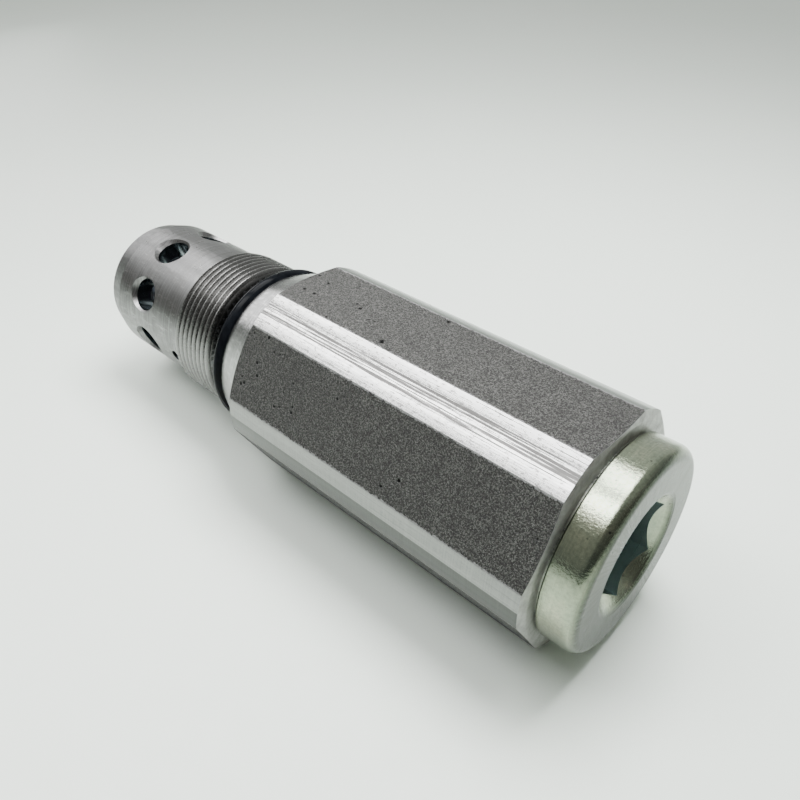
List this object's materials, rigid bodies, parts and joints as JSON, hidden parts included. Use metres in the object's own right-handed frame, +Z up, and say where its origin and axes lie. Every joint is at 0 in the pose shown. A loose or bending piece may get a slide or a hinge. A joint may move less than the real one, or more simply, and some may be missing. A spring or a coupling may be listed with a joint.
{
  "type": "cartridge valve",
  "caption": "Screw-in hydraulic relief cartridge valve: hexagonal steel body, threaded nose with radial ports, sprung poppet inside and a socket-head end plug.",
  "frame": {"origin": "centre of the seating shoulder, on the valve axis", "axes": "+X along the valve axis from the nose towards the wrench end, +Z up with the valve lying on one flat of its hexagon"},
  "size_m": [0.1301, 0.0436, 0.041],
  "materials": {
    "body_steel": "dark mill scale on the flats, bright turned steel elsewhere",
    "body_steel_bright": "turned",
    "hardened_steel": "ground",
    "black_steel": "black oxide or nitrided",
    "spring_steel": "shot peened",
    "shim_steel": "rolled",
    "zinc_plate": "zinc plated, slightly yellow passivation",
    "rubber_black": "glossy nitrile",
    "ptfe_white": "satin"
  },
  "bodies": {
    "housing": {"valve_body": "body_steel", "body_o_ring": "rubber_black", "seat_ring": "hardened_steel", "seat_o_ring": "rubber_black", "seat_backup_ring": "ptfe_white", "seat_retainer": "body_steel_bright", "guide_bushing": "black_steel", "stem_o_ring": "rubber_black", "bushing_snap_ring": "black_steel", "main_spring": "spring_steel", "rear_spring_plate": "hardened_steel", "lift_stop": "hardened_steel", "shim_thick": "shim_steel", "shim_medium": "shim_steel", "shim_thin": "shim_steel", "end_plug": "zinc_plate", "plug_o_ring": "rubber_black", "plug_backup_ring": "ptfe_white"},
    "poppet_group": {"poppet": "hardened_steel", "damping_orifice": "black_steel", "front_spring_plate": "hardened_steel"}
  },
  "joints": [
    {"name": "poppet_lift", "type": "slide", "parent": "housing", "child": "poppet_group", "axis": [1, 0, 0], "range_m": [0, 0.003], "stiffness_N_per_m": 54000, "deforming": ["main_spring"]}
  ]
}
